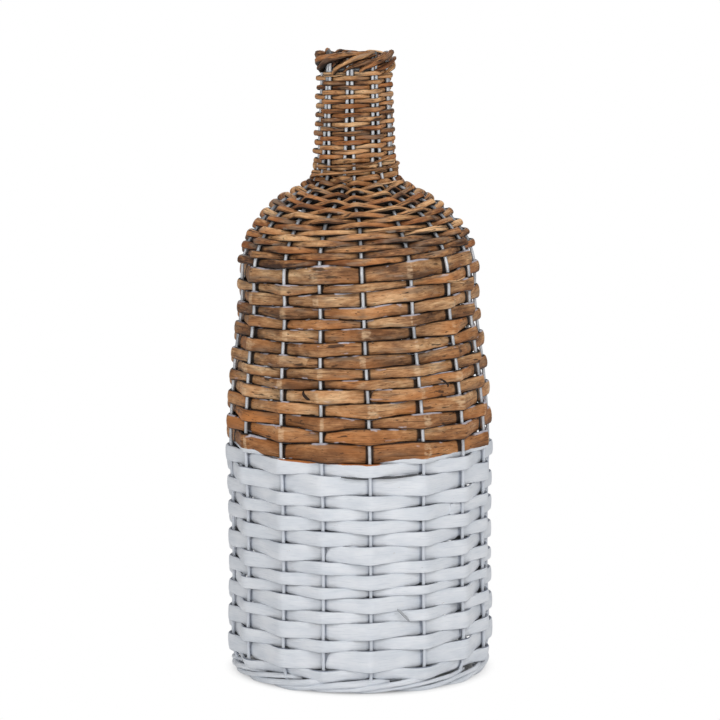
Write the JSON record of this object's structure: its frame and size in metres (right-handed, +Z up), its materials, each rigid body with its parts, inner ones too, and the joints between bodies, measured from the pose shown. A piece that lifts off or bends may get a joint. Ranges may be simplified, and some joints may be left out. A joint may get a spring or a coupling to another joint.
{
  "type": "wicker bottle vase",
  "caption": "Tall bottle-shaped vase woven from split willow and thin rods over bent wire stakes, its lower part painted white, with a narrow neck and twisted borders.",
  "frame": {"origin": "centre of the foot, on the surface that the vase stands on", "axes": "+Z up along the vase's axis from the foot to the mouth, -Y towards the front, +X to the right seen from the front"},
  "size_m": [0.2592, 0.2595, 0.6],
  "materials": {
    "galvanised_wire": "galvanised steel wire, dull grey, painted white below the paint line",
    "split_willow": "unpainted split willow, satin, with fine lengthwise grain",
    "rod_willow": "unpainted thin willow rods with bark, matt",
    "white_painted_willow": "split willow and rods under matt white paint"
  },
  "bodies": {
    "root": {"stake_single": "galvanised_wire", "stake_hairpin_1": "galvanised_wire", "stake_hairpin_2": "galvanised_wire", "stake_hairpin_3": "galvanised_wire", "stake_hairpin_4": "galvanised_wire", "stake_hairpin_5": "galvanised_wire", "stake_hairpin_6": "galvanised_wire", "stake_hairpin_7": "galvanised_wire", "stake_hairpin_8": "galvanised_wire", "rim_hoop": "galvanised_wire", "floor_hoop": "galvanised_wire", "floor_star": "galvanised_wire", "white_strip_01": "white_painted_willow", "white_strip_02": "white_painted_willow", "white_strip_03": "white_painted_willow", "white_strip_04": "white_painted_willow", "white_strip_05": "white_painted_willow", "white_strip_06": "white_painted_willow", "white_strip_07": "white_painted_willow", "white_strip_08": "white_painted_willow", "white_strip_09": "white_painted_willow", "white_strip_10": "white_painted_willow", "foot_border_rod_1": "white_painted_willow", "foot_border_rod_2": "white_painted_willow", "brown_strip_01": "split_willow", "brown_strip_02": "split_willow", "brown_strip_03": "split_willow", "brown_strip_04": "split_willow", "brown_strip_05": "split_willow", "brown_strip_06": "split_willow", "brown_strip_07": "split_willow", "brown_strip_08": "split_willow", "brown_strip_09": "split_willow", "brown_strip_10": "split_willow", "floor_strip": "split_willow", "shoulder_rod_01": "rod_willow", "shoulder_rod_02": "rod_willow", "shoulder_rod_03": "rod_willow", "shoulder_rod_04": "rod_willow", "shoulder_rod_05": "rod_willow", "shoulder_rod_06": "rod_willow", "shoulder_rod_07": "rod_willow", "shoulder_rod_08": "rod_willow", "shoulder_rod_09": "rod_willow", "shoulder_rod_10": "rod_willow", "neck_rod_01": "rod_willow", "neck_rod_02": "rod_willow", "neck_rod_03": "rod_willow", "neck_rod_04": "rod_willow", "neck_rod_05": "rod_willow", "neck_rod_06": "rod_willow", "neck_rod_07": "rod_willow", "neck_rod_08": "rod_willow", "neck_rod_09": "rod_willow", "neck_rod_10": "rod_willow", "rim_border_rod_1": "rod_willow", "rim_border_rod_2": "rod_willow"}
  },
  "joints": []
}
